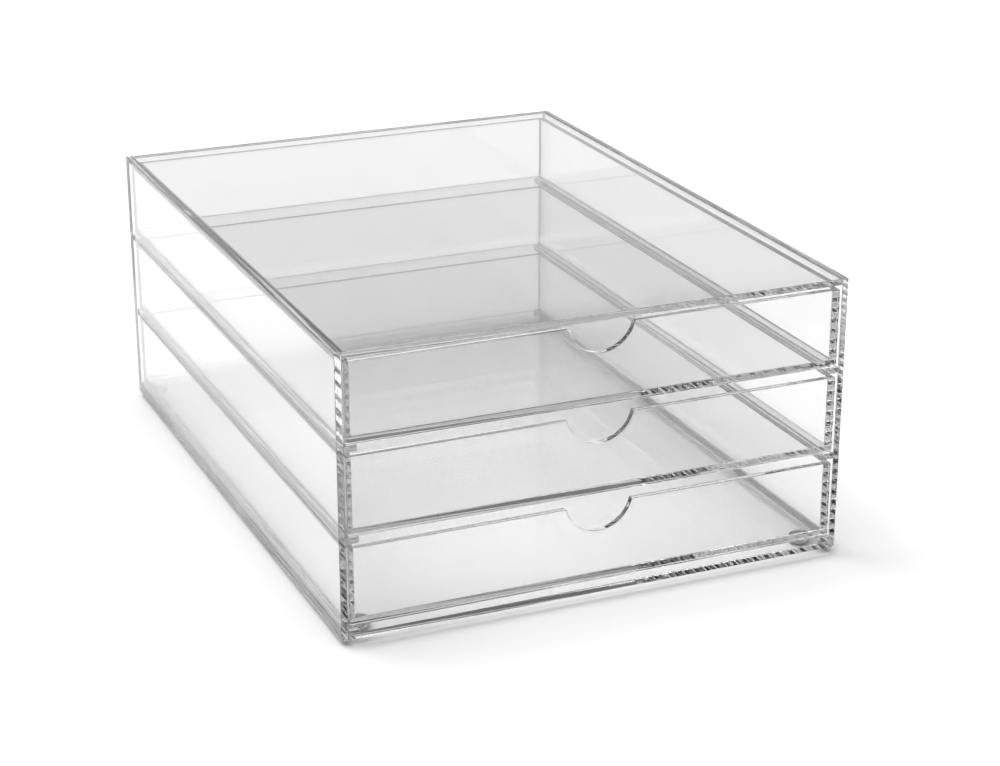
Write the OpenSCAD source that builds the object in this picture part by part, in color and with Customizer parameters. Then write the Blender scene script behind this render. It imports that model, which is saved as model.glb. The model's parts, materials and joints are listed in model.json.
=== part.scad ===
// Desk organizer for A4 or letter paper: a clear sheet case with three shallow drawers.
//
// The case is two side panels with a base, a back and a top between them, butt-jointed at
// their edges. The front (-Y) is open. Three drawers slide in it, one over the other, each on
// a pair of runner strips on the side panels, with open space between one drawer and the next.
// A drawer is an open tray of five sheets, with a finger notch in its front's top edge.
//
// Origin: the middle of the footprint, on the surface that the feet stand on.
// +X is the object's right, +Y its back and +Z up.

/* [Case] */
// Width of the case
case_w = 240; // [234:1:400]
// Depth of the case, front to back
case_d = 320; // [315:1:450]
// Height of the case, without its feet
case_h = 130; // [90:1:260]
// Thickness of the case's panels
sheet_t = 3; // [2:0.5:5]
// Width of a runner strip, out from the side panel
runner_w = 6; // [4:0.5:12]
// Thickness of a runner strip
runner_t = 3; // [2:0.5:5]

/* [Drawers] */
// Thickness of a drawer's front, back, sides and floor
drawer_t = 3; // [2:0.5:4]
// Gap between a drawer and each side panel
side_gap = 1; // [0.3:0.1:3]
// Gap between a drawer and the runners that it slides on
slide_gap = 0.3; // [0.1:0.1:1]
// Gap over a drawer
head_gap = 1.8; // [0.5:0.1:5]
// Gap behind a drawer
rear_gap = 1; // [0.3:0.1:5]

/* [Finger notch] */
// Width of the notch at the drawer front's top edge
notch_w = 31; // [20:0.5:60]
// Depth of the notch below that edge
notch_d = 12.5; // [6:0.5:15]

/* [Feet] */
// Diameter of a bumper foot
foot_d = 10; // [6:0.5:16]
// Height of a bumper foot
foot_h = 2.5; // [1.5:0.5:6]
// Distance from a foot's centre to the two nearest edges of the base
foot_inset = 12; // [8:0.5:40]
// Chamfer around the lower rim of a foot
foot_chamfer = 0.8; // [0.2:0.1:1.2]

/* [Hidden] */
$fn = 96;

// Bays, counted from the bottom
BOTTOM = 0;
MIDDLE = 1;
TOP = 2;
bays = 3;

// Colours
case_tint = [0.86, 0.90, 0.92, 0.45];
drawer_tint = [0.93, 0.95, 0.96, 0.45];
foot_tint = [0.80, 0.82, 0.83, 0.70];

// Case: levels up from the ground, and the inside of the bays
base_top = foot_h + sheet_t;
case_top = foot_h + case_h;
bay_w = case_w - 2 * sheet_t;
bay_d = case_d - sheet_t;
bay_h = (case_top - sheet_t - base_top) / bays;
front_y = -case_d / 2;

// Drawers: outer size of the tray, and its inside
drawer_w = bay_w - 2 * side_gap;
drawer_d = bay_d - rear_gap;
drawer_h = bay_h - runner_t - slide_gap - head_gap;
tray_d = drawer_d - drawer_t;

// Finger notch: the arc that passes through both ends of the notch and its lowest point
notch_r = (pow(notch_w / 2, 2) + pow(notch_d, 2)) / (2 * notch_d);
// How far a cutting shape runs past the faces that it cuts
cut = 1;

// Height of the underside of the runners in a bay
function runner_z(bay) = base_top + bay * bay_h;

// Height of the underside of the drawer in a bay
function drawer_z(bay) = runner_z(bay) + runner_t + slide_gap;

// A sheet of size [x, y, z], centred on X, with its front lower edge at y and z
module sheet(size, x = 0, y = 0, z = 0) {
    translate([x - size[0] / 2, y, z]) cube(size);
}

// ---- Case ----

module case_base_panel() {
    color(case_tint) sheet([bay_w, case_d, sheet_t], y = front_y, z = foot_h);
}

// A side panel, on the left (side = -1) or the right (side = 1)
module case_side_panel(side) {
    color(case_tint)
        sheet([sheet_t, case_d, case_h], x = side * (case_w - sheet_t) / 2, y = front_y, z = foot_h);
}

module case_back_panel() {
    color(case_tint) sheet([bay_w, sheet_t, case_top - base_top], y = front_y + bay_d, z = base_top);
}

module case_top_panel() {
    color(case_tint) sheet([bay_w, bay_d, sheet_t], y = front_y, z = case_top - sheet_t);
}

// A runner strip in a bay, on the left (side = -1) or the right (side = 1)
module runner(bay, side) {
    color(case_tint)
        sheet([runner_w, bay_d, runner_t], x = side * (bay_w - runner_w) / 2, y = front_y, z = runner_z(bay));
}

// One foot: a flat disc with a chamfered lower rim
module foot() {
    rotate_extrude()
        polygon([
            [0, 0], [foot_d / 2 - foot_chamfer, 0], [foot_d / 2, foot_chamfer],
            [foot_d / 2, foot_h], [0, foot_h]
        ]);
}

module bumper_feet() {
    color(foot_tint)
        for (side = [-1, 1], end = [-1, 1])
            translate([side * (case_w / 2 - foot_inset), end * (case_d / 2 - foot_inset), 0]) foot();
}

// ---- Drawers: the tray's floor runs under its sides and back, and the front covers all three ----

module drawer_front(bay) {
    color(drawer_tint)
        difference() {
            sheet([drawer_w, drawer_t, drawer_h], y = front_y, z = drawer_z(bay));
            translate([0, front_y - cut, drawer_z(bay) + drawer_h - notch_d + notch_r])
                rotate([-90, 0, 0]) cylinder(r = notch_r, h = drawer_t + 2 * cut);
        }
}

module drawer_floor(bay) {
    color(drawer_tint) sheet([drawer_w, tray_d, drawer_t], y = front_y + drawer_t, z = drawer_z(bay));
}

// A side of the tray, on the left (side = -1) or the right (side = 1)
module drawer_side(bay, side) {
    color(drawer_tint)
        sheet(
            [drawer_t, tray_d, drawer_h - drawer_t],
            x = side * (drawer_w - drawer_t) / 2, y = front_y + drawer_t, z = drawer_z(bay) + drawer_t
        );
}

module drawer_back(bay) {
    color(drawer_tint)
        sheet(
            [drawer_w - 2 * drawer_t, drawer_t, drawer_h - drawer_t],
            y = front_y + drawer_d - drawer_t, z = drawer_z(bay) + drawer_t
        );
}

// ---- Nodes ----

case_base_panel();
case_side_panel(-1);  // case_left_panel
case_side_panel(1);  // case_right_panel
case_back_panel();
case_top_panel();
runner(TOP, -1);  // top_left_runner
runner(TOP, 1);  // top_right_runner
runner(MIDDLE, -1);  // middle_left_runner
runner(MIDDLE, 1);  // middle_right_runner
runner(BOTTOM, -1);  // bottom_left_runner
runner(BOTTOM, 1);  // bottom_right_runner
bumper_feet();

drawer_front(TOP);  // top_drawer_front
drawer_back(TOP);  // top_drawer_back
drawer_side(TOP, -1);  // top_drawer_left
drawer_side(TOP, 1);  // top_drawer_right
drawer_floor(TOP);  // top_drawer_floor

drawer_front(MIDDLE);  // middle_drawer_front
drawer_back(MIDDLE);  // middle_drawer_back
drawer_side(MIDDLE, -1);  // middle_drawer_left
drawer_side(MIDDLE, 1);  // middle_drawer_right
drawer_floor(MIDDLE);  // middle_drawer_floor

drawer_front(BOTTOM);  // bottom_drawer_front
drawer_back(BOTTOM);  // bottom_drawer_back
drawer_side(BOTTOM, -1);  // bottom_drawer_left
drawer_side(BOTTOM, 1);  // bottom_drawer_right
drawer_floor(BOTTOM);  // bottom_drawer_floor
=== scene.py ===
"""Looks for the clear acrylic desk organizer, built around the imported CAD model.

Each sheet of the CAD model is replaced by a finished sheet of the same size: flat polished faces,
fine bevels along every edge, and clear welds where it is joined to its neighbours. All places and
sizes come from the CAD nodes' boxes. Units are metres, and the frame is the CAD model's own.
"""

import json
import math

import bmesh
import bpy
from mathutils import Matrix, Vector


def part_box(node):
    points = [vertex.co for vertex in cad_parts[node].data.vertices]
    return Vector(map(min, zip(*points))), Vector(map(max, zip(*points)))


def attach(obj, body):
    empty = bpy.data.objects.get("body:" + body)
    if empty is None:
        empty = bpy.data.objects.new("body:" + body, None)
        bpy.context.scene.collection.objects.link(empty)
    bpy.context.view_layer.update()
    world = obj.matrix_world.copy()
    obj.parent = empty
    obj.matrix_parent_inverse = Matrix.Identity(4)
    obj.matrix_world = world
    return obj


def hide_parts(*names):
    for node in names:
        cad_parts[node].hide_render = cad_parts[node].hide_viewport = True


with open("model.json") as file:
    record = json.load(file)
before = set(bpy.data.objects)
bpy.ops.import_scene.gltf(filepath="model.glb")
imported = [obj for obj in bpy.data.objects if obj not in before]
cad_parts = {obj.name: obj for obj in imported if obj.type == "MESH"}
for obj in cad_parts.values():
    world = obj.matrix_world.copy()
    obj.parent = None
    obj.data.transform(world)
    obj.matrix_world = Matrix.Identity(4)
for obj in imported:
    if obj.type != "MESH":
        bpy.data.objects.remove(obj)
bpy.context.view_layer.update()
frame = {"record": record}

MM = 0.001

# Sheets
SKIN_GAP = 0.03 * MM  # how far each face stands back from the CAD face, so that no two faces touch
EDGE_BEVEL = 0.25 * MM
BEVEL_SEGMENTS = 2
SHARP_ANGLE = math.radians(30)  # edges that turn by more than this are bevelled
WELD_REACH = 0.2 * MM  # a face patch is welded if a neighbour lies within this distance of it
WELD_MARGIN = 0.1 * MM  # how far inside the neighbour's box the patch has to point
FLAT_ON = 0.999  # the least share of a normal along one axis, for a face that lies square to it
NOTCH_WIDTH = 31 * MM
NOTCH_DEPTH = 12.5 * MM
NOTCH_STEPS = 48

# Feet: outline from the ground up, as shares of the foot's radius and height
FOOT_RADIUS = 5 * MM
FOOT_STEPS = 40
FOOT_PROFILE = [
    (0.30, 0.0), (0.48, 0.03), (0.66, 0.12), (0.80, 0.27),
    (0.91, 0.47), (0.98, 0.70), (1.0, 0.86), (1.0, 0.985),
]

# Acrylic and silicone
ACRYLIC_IOR = 1.49
ACRYLIC_ABSORPTION = 0.6
SILICONE_IOR = 1.41
SILICONE_ABSORPTION = 60.0
ABSORPTION_TINT = (0.5, 0.5, 0.5, 1)
SMUDGE_DETAIL = 4.0
SMUDGE_FULL = 0.85  # smudge noise at or over this gives the highest roughness
RIPPLE_DETAIL = 1.0
FACE_SHADOW = 1.0  # the light that a face lets straight on into the shadow, when square to it
EDGE_SHADOW = 0.3
FOOT_SHADOW = 0.7
GRAZING_LOSS = 0.5  # how much less of it passes at the flattest slant
GRAZING_POWER = 4.0  # how late that loss sets in

# Stage and sky: brightness at each elevation in degrees, a soft key light and a dark flag behind
FLOOR_SIZE = 6.0
FLOOR_ALBEDO = 0.85
WHITE = (1, 1, 1, 1)
SKY = [
    (0.0, 1.0), (9.0, 0.95), (14.0, 0.65), (18.0, 0.42), (22.0, 0.22), (27.0, 0.12), (35.0, 0.1), (50.0, 1.4),
]
KEY_TOWARDS = Vector((-0.41, 0.34, 0.85)).normalized()
KEY_RADII = (math.radians(18), math.radians(32))
KEY_LEVEL = 3.1
FLAG_TOWARDS = Vector((-0.37, 0.85, 0.36)).normalized()
FLAG_RADII = (math.radians(14), math.radians(19))

# Camera
CAMERA_AZIMUTH = math.radians(-23.41)
CAMERA_ELEVATION = math.radians(21.02)
CAMERA_DISTANCE = 1.1758
CAMERA_AIM = Vector((0.0246, 0.0058, 0.0391))
CAMERA_LENS = 84.8
CAMERA_SENSOR = 36.0

# Light paths: a look through all the sheets crosses many surfaces, and more along an edge
CLEAR_BOUNCES = 64
SHADOW_BOUNCES = 128
DIFFUSE_BOUNCES = 3

scene = bpy.context.scene


# ---- Node helpers ----

def new_material(name):
    """An empty node material, its node tree and its output node."""
    material = bpy.data.materials.new(name)
    material.use_nodes = True
    tree = material.node_tree
    tree.nodes.clear()
    return material, tree, tree.nodes.new("ShaderNodeOutputMaterial")


def ranged(tree, value, old, new):
    """Map a value from one range to another, held inside the new one."""
    fit = tree.nodes.new("ShaderNodeMapRange")
    fit.inputs["From Min"].default_value, fit.inputs["From Max"].default_value = old
    fit.inputs["To Min"].default_value, fit.inputs["To Max"].default_value = new
    tree.links.new(value, fit.inputs["Value"])
    return fit.outputs["Result"]


def combine(tree, operation, first, second):
    """A vector sum or product of two values."""
    node = tree.nodes.new("ShaderNodeVectorMath")
    node.operation = operation
    tree.links.new(first, node.inputs[0])
    tree.links.new(second, node.inputs[1])
    return node.outputs["Vector"]


def mix_shaders(tree, fac, first, second):
    mix = tree.nodes.new("ShaderNodeMixShader")
    tree.links.new(fac, mix.inputs["Fac"])
    tree.links.new(first, mix.inputs[1])
    tree.links.new(second, mix.inputs[2])
    return mix.outputs["Shader"]


def surface_noise(tree, scale, detail):
    """Noise laid out in the piece's own space, at a scale in features per metre."""
    place = tree.nodes.new("ShaderNodeTexCoord")
    noise = tree.nodes.new("ShaderNodeTexNoise")
    noise.inputs["Scale"].default_value = scale
    noise.inputs["Detail"].default_value = detail
    tree.links.new(place.outputs["Object"], noise.inputs["Vector"])
    return noise.outputs["Fac"]


# ---- Materials ----

def shadow_tone(tree, square_on):
    """The light that passes straight on into the shadow: less of it at a slant."""
    slant = tree.nodes.new("ShaderNodeLayerWeight")
    slant.inputs["Blend"].default_value = 0.5
    steep = tree.nodes.new("ShaderNodeMath")
    steep.operation = "POWER"
    steep.inputs[1].default_value = GRAZING_POWER
    tree.links.new(slant.outputs["Facing"], steep.inputs[0])
    full_loss_at = square_on / GRAZING_LOSS
    return ranged(tree, steep.outputs[0], (0.0, full_loss_at), (square_on, 0.0))


def absorber(tree, density):
    """The faint darkening of light on a long way through the plastic."""
    volume = tree.nodes.new("ShaderNodeVolumeAbsorption")
    volume.inputs["Color"].default_value = ABSORPTION_TINT
    volume.inputs["Density"].default_value = density
    return volume.outputs["Volume"]


def clear_plastic(name, shadow, ior, absorption, smudge, clean_below, ripple):
    """Refracting plastic, which shadow and bounced light cross in a straight line.

    Smudge is (noise scale, lowest roughness, highest roughness), and noise under clean_below leaves
    the lowest. Ripple is (noise scale, height).
    """
    material, tree, output = new_material(name)
    nodes, links = tree.nodes, tree.links
    body = nodes.new("ShaderNodeBsdfPrincipled")
    body.inputs["Base Color"].default_value = WHITE
    body.inputs["IOR"].default_value = ior
    body.inputs["Transmission Weight"].default_value = 1.0

    smudge_scale, smudge_low, smudge_high = smudge
    marks = surface_noise(tree, smudge_scale, SMUDGE_DETAIL)
    roughness = ranged(tree, marks, (clean_below, SMUDGE_FULL), (smudge_low, smudge_high))
    links.new(roughness, body.inputs["Roughness"])

    ripple_scale, ripple_height = ripple
    bump = nodes.new("ShaderNodeBump")
    bump.inputs["Strength"].default_value = 1.0
    bump.inputs["Distance"].default_value = ripple_height
    links.new(surface_noise(tree, ripple_scale, RIPPLE_DETAIL), bump.inputs["Height"])
    links.new(bump.outputs["Normal"], body.inputs["Normal"])

    clear = nodes.new("ShaderNodeBsdfTransparent")
    links.new(shadow_tone(tree, shadow), clear.inputs["Color"])
    path = nodes.new("ShaderNodeLightPath")
    straight = nodes.new("ShaderNodeMath")
    straight.operation = "MAXIMUM"
    links.new(path.outputs["Is Shadow Ray"], straight.inputs[0])
    links.new(path.outputs["Is Diffuse Ray"], straight.inputs[1])
    surface = mix_shaders(tree, straight.outputs[0], body.outputs["BSDF"], clear.outputs["BSDF"])
    links.new(surface, output.inputs["Surface"])
    links.new(absorber(tree, absorption), output.inputs["Volume"])
    return material


def weld(name):
    """A solvent weld: light passes it unbent, from one sheet into the next."""
    material, tree, output = new_material(name)
    clear = tree.nodes.new("ShaderNodeBsdfTransparent")
    clear.inputs["Color"].default_value = WHITE
    tree.links.new(clear.outputs["BSDF"], output.inputs["Surface"])
    tree.links.new(absorber(tree, ACRYLIC_ABSORPTION), output.inputs["Volume"])
    return material


# ---- Sheets ----

FACE, EDGE, WELD = 0, 1, 2  # material slots of a sheet


def inset_box(node):
    """A CAD node's box, drawn in by the skin gap on every side."""
    low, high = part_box(node)
    gap = Vector((SKIN_GAP,) * 3)
    return low + gap, high - gap


def add_object(name, bm, materials):
    """Turn a bmesh into an object in the scene."""
    mesh = bpy.data.meshes.new(name)
    bm.to_mesh(mesh)
    bm.free()
    for material in materials:
        mesh.materials.append(material)
    piece = bpy.data.objects.new(name, mesh)
    scene.collection.objects.link(piece)
    return piece


def extrude_outline(outline, low_y, high_y):
    """A closed solid of an outline's (x, z) points, extruded from low_y to high_y, with bevelled edges."""
    bm = bmesh.new()
    near = [bm.verts.new((x, low_y, z)) for x, z in outline]
    far = [bm.verts.new((x, high_y, z)) for x, z in outline]
    bm.faces.new(near)
    bm.faces.new(list(reversed(far)))
    for i in range(len(outline)):
        j = (i + 1) % len(outline)
        bm.faces.new((near[j], near[i], far[i], far[j]))
    bmesh.ops.recalc_face_normals(bm, faces=bm.faces)
    sharp = [e for e in bm.edges if e.calc_face_angle(0) > SHARP_ANGLE]
    bmesh.ops.bevel(
        bm, geom=sharp, offset=EDGE_BEVEL, segments=BEVEL_SEGMENTS, profile=0.5, affect="EDGES",
        clamp_overlap=True,
    )
    bmesh.ops.recalc_face_normals(bm, faces=bm.faces)
    return bm


def neighbours(node, nodes):
    """The boxes of the other sheets that touch this one."""
    low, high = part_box(node)
    found = []
    for other in nodes:
        if other == node:
            continue
        other_low, other_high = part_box(other)
        if all(
            other_low[a] < high[a] + WELD_REACH and other_high[a] > low[a] - WELD_REACH for a in range(3)
        ):
            found.append((other_low, other_high))
    return found


def mark_out_welds(bm, node, boxes):
    """Cut the sheet's faces along the outlines of the neighbours that they are joined to."""
    low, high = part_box(node)
    rim = SKIN_GAP + EDGE_BEVEL
    for axis in range(3):
        normal = Vector((0, 0, 0))
        normal[axis] = 1
        places = set()
        for box_low, box_high in boxes:
            places.add(round(box_low[axis] + rim, 7))
            places.add(round(box_high[axis] - rim, 7))
        for place in sorted(places):
            if low[axis] + 2 * rim < place < high[axis] - 2 * rim:
                at = Vector((0, 0, 0))
                at[axis] = place
                bmesh.ops.bisect_plane(
                    bm, geom=list(bm.verts) + list(bm.edges) + list(bm.faces), plane_co=at, plane_no=normal,
                )


def inside(point, box):
    """Whether a point lies well inside a box."""
    low, high = box
    return all(low[a] + WELD_MARGIN < point[a] < high[a] - WELD_MARGIN for a in range(3))


def assign_finishes(bm, node, boxes):
    """Give each face patch its finish: a polished face, a polished edge or a weld."""
    low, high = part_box(node)
    size = high - low
    thin = min(range(3), key=lambda a: size[a])
    for face in bm.faces:
        face.normal_update()
        face.material_index = FACE if abs(face.normal[thin]) > FLAT_ON else EDGE
        if max(abs(c) for c in face.normal) > FLAT_ON:
            probe = face.calc_center_median() + face.normal * WELD_REACH
            if any(inside(probe, box) for box in boxes):
                face.material_index = WELD


def make_sheet(node, body, nodes, materials, outline):
    """Build the finished sheet that stands for a CAD node."""
    low, high = inset_box(node)
    bm = extrude_outline(outline, low.y, high.y)
    boxes = neighbours(node, nodes)
    mark_out_welds(bm, node, boxes)
    assign_finishes(bm, node, boxes)
    piece = add_object(node + "_sheet", bm, materials)
    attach(piece, body)
    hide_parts(node)


def plain_outline(node):
    """A sheet's outline from the front: its box's four corners."""
    low, high = inset_box(node)
    return [(low.x, low.z), (high.x, low.z), (high.x, high.z), (low.x, high.z)]


def notched_outline(node):
    """A drawer front's outline, with the finger notch's arc cut into its top edge."""
    low, high = inset_box(node)
    radius = ((NOTCH_WIDTH / 2) ** 2 + NOTCH_DEPTH ** 2) / (2 * NOTCH_DEPTH)
    centre_z = high.z - NOTCH_DEPTH + radius
    half_angle = math.acos((radius - NOTCH_DEPTH) / radius)
    arc = []
    for i in range(NOTCH_STEPS + 1):
        angle = half_angle * (1 - 2 * i / NOTCH_STEPS)
        arc.append((radius * math.sin(angle), centre_z - radius * math.cos(angle)))
    return [(low.x, low.z), (high.x, low.z), (high.x, high.z), *arc, (low.x, high.z)]


# ---- Feet ----

def add_foot(bm, x, y, low_z, height):
    """One moulded bumper with a domed lower face, as rings joined from the ground up."""
    rings = []
    for reach, rise in FOOT_PROFILE:
        ring = []
        for i in range(FOOT_STEPS):
            angle = 2 * math.pi * i / FOOT_STEPS
            radius = reach * (FOOT_RADIUS - SKIN_GAP)
            at = (x + radius * math.cos(angle), y + radius * math.sin(angle), low_z + rise * height)
            ring.append(bm.verts.new(at))
        rings.append(ring)
    bm.faces.new(list(reversed(rings[0])))
    bm.faces.new(rings[-1])
    for lower, upper in zip(rings, rings[1:]):
        for i in range(FOOT_STEPS):
            j = (i + 1) % FOOT_STEPS
            bm.faces.new((lower[i], lower[j], upper[j], upper[i])).smooth = True


def make_feet(material):
    """Four bumpers, at the corners of the CAD feet's box."""
    low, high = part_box("bumper_feet")
    bm = bmesh.new()
    for x in (low.x + FOOT_RADIUS, high.x - FOOT_RADIUS):
        for y in (low.y + FOOT_RADIUS, high.y - FOOT_RADIUS):
            add_foot(bm, x, y, low.z, high.z - low.z)
    bmesh.ops.recalc_face_normals(bm, faces=bm.faces)
    piece = add_object("bumper_domes", bm, [material])
    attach(piece, "case")
    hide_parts("bumper_feet")


# ---- Stage ----

def make_floor():
    bm = bmesh.new()
    corners = [(-1, -1), (1, -1), (1, 1), (-1, 1)]
    bm.faces.new([bm.verts.new((x * FLOOR_SIZE, y * FLOOR_SIZE, 0)) for x, y in corners])
    material, tree, output = new_material("floor")
    paint = tree.nodes.new("ShaderNodeBsdfPrincipled")
    paint.inputs["Base Color"].default_value = (FLOOR_ALBEDO, FLOOR_ALBEDO, FLOOR_ALBEDO, 1)
    paint.inputs["Roughness"].default_value = 1.0
    paint.inputs["Specular IOR Level"].default_value = 0.0
    tree.links.new(paint.outputs["BSDF"], output.inputs["Surface"])
    add_object("floor", bm, [material])


def soft_spot(tree, direction, towards, radii, level):
    """A round patch of the sky: the level inside the inner radius, fading to 0 at the outer one."""
    facing = tree.nodes.new("ShaderNodeVectorMath")
    facing.operation = "DOT_PRODUCT"
    facing.inputs[1].default_value = towards
    tree.links.new(direction, facing.inputs[0])
    inner, outer = radii
    spot = tree.nodes.new("ShaderNodeMapRange")
    spot.interpolation_type = "SMOOTHSTEP"
    spot.inputs["From Min"].default_value = math.cos(outer)
    spot.inputs["From Max"].default_value = math.cos(inner)
    spot.inputs["To Max"].default_value = level
    tree.links.new(facing.outputs["Value"], spot.inputs["Value"])
    return spot.outputs["Result"]


def sky_by_elevation(tree, direction):
    split = tree.nodes.new("ShaderNodeSeparateXYZ")
    ramp = tree.nodes.new("ShaderNodeValToRGB")
    tree.links.new(direction, split.inputs[0])
    tree.links.new(split.outputs["Z"], ramp.inputs["Fac"])
    elements = ramp.color_ramp.elements
    while len(elements) < len(SKY):
        elements.new(1.0)
    for element, (elevation, level) in zip(elements, SKY):
        element.position = math.sin(math.radians(elevation))
        element.color = (level, level, level, 1)
    return ramp.outputs["Color"]


def make_world():
    """The studio that lights the scene, behind a plain white backdrop."""
    world = bpy.data.worlds.new("studio")
    scene.world = world
    world.use_nodes = True
    tree = world.node_tree
    nodes, links = tree.nodes, tree.links
    nodes.clear()
    output = nodes.new("ShaderNodeOutputWorld")
    direction = nodes.new("ShaderNodeTexCoord").outputs["Generated"]
    key = soft_spot(tree, direction, KEY_TOWARDS, KEY_RADII, KEY_LEVEL)
    flag = soft_spot(tree, direction, FLAG_TOWARDS, FLAG_RADII, 1.0)
    unflagged = ranged(tree, flag, (0.0, 1.0), (1.0, 0.0))
    shaded = combine(tree, "MULTIPLY", sky_by_elevation(tree, direction), unflagged)
    light = nodes.new("ShaderNodeBackground")
    links.new(combine(tree, "ADD", shaded, key), light.inputs["Color"])
    backdrop = nodes.new("ShaderNodeBackground")
    backdrop.inputs["Color"].default_value = WHITE
    path = nodes.new("ShaderNodeLightPath")
    seen = mix_shaders(tree, path.outputs["Is Camera Ray"], light.outputs[0], backdrop.outputs[0])
    links.new(seen, output.inputs["Surface"])


def make_camera():
    data = bpy.data.cameras.new("camera")
    data.lens = CAMERA_LENS
    data.sensor_width = CAMERA_SENSOR
    camera = bpy.data.objects.new("camera", data)
    scene.collection.objects.link(camera)
    back = Vector((
        math.sin(CAMERA_AZIMUTH) * math.cos(CAMERA_ELEVATION),
        -math.cos(CAMERA_AZIMUTH) * math.cos(CAMERA_ELEVATION),
        math.sin(CAMERA_ELEVATION),
    ))
    camera.location = CAMERA_AIM + back * CAMERA_DISTANCE
    camera.rotation_euler = back.to_track_quat("Z", "Y").to_euler()
    scene.camera = camera


# ---- Build ----

face_finish = clear_plastic(
    "acrylic_face", FACE_SHADOW, ACRYLIC_IOR, ACRYLIC_ABSORPTION,
    smudge=(26.0, 0.0, 0.03), clean_below=0.55, ripple=(14.0, 0.003 * MM),
)
edge_finish = clear_plastic(
    "acrylic_edge", EDGE_SHADOW, ACRYLIC_IOR, ACRYLIC_ABSORPTION,
    smudge=(240.0, 0.0, 0.06), clean_below=0.45, ripple=(260.0, 0.003 * MM),
)
foot_finish = clear_plastic(
    "foot_silicone", FOOT_SHADOW, SILICONE_IOR, SILICONE_ABSORPTION,
    smudge=(500.0, 0.12, 0.3), clean_below=0.3, ripple=(900.0, 0.02 * MM),
)
sheet_finishes = [face_finish, edge_finish, weld("acrylic_weld")]

for body, nodes in frame["record"]["behaviour"]["bodies"].items():
    sheets = [n for n in nodes if n != "bumper_feet"]
    for node in sheets:
        outline = notched_outline(node) if node.endswith("_front") else plain_outline(node)
        make_sheet(node, body, sheets, sheet_finishes, outline)

make_feet(foot_finish)
make_floor()
make_world()
make_camera()

scene.view_settings.view_transform = "Standard"
scene.cycles.max_bounces = CLEAR_BOUNCES
scene.cycles.transmission_bounces = CLEAR_BOUNCES
scene.cycles.glossy_bounces = CLEAR_BOUNCES
scene.cycles.transparent_max_bounces = SHADOW_BOUNCES
scene.cycles.diffuse_bounces = DIFFUSE_BOUNCES
scene.cycles.caustics_refractive = False
scene.cycles.caustics_reflective = False
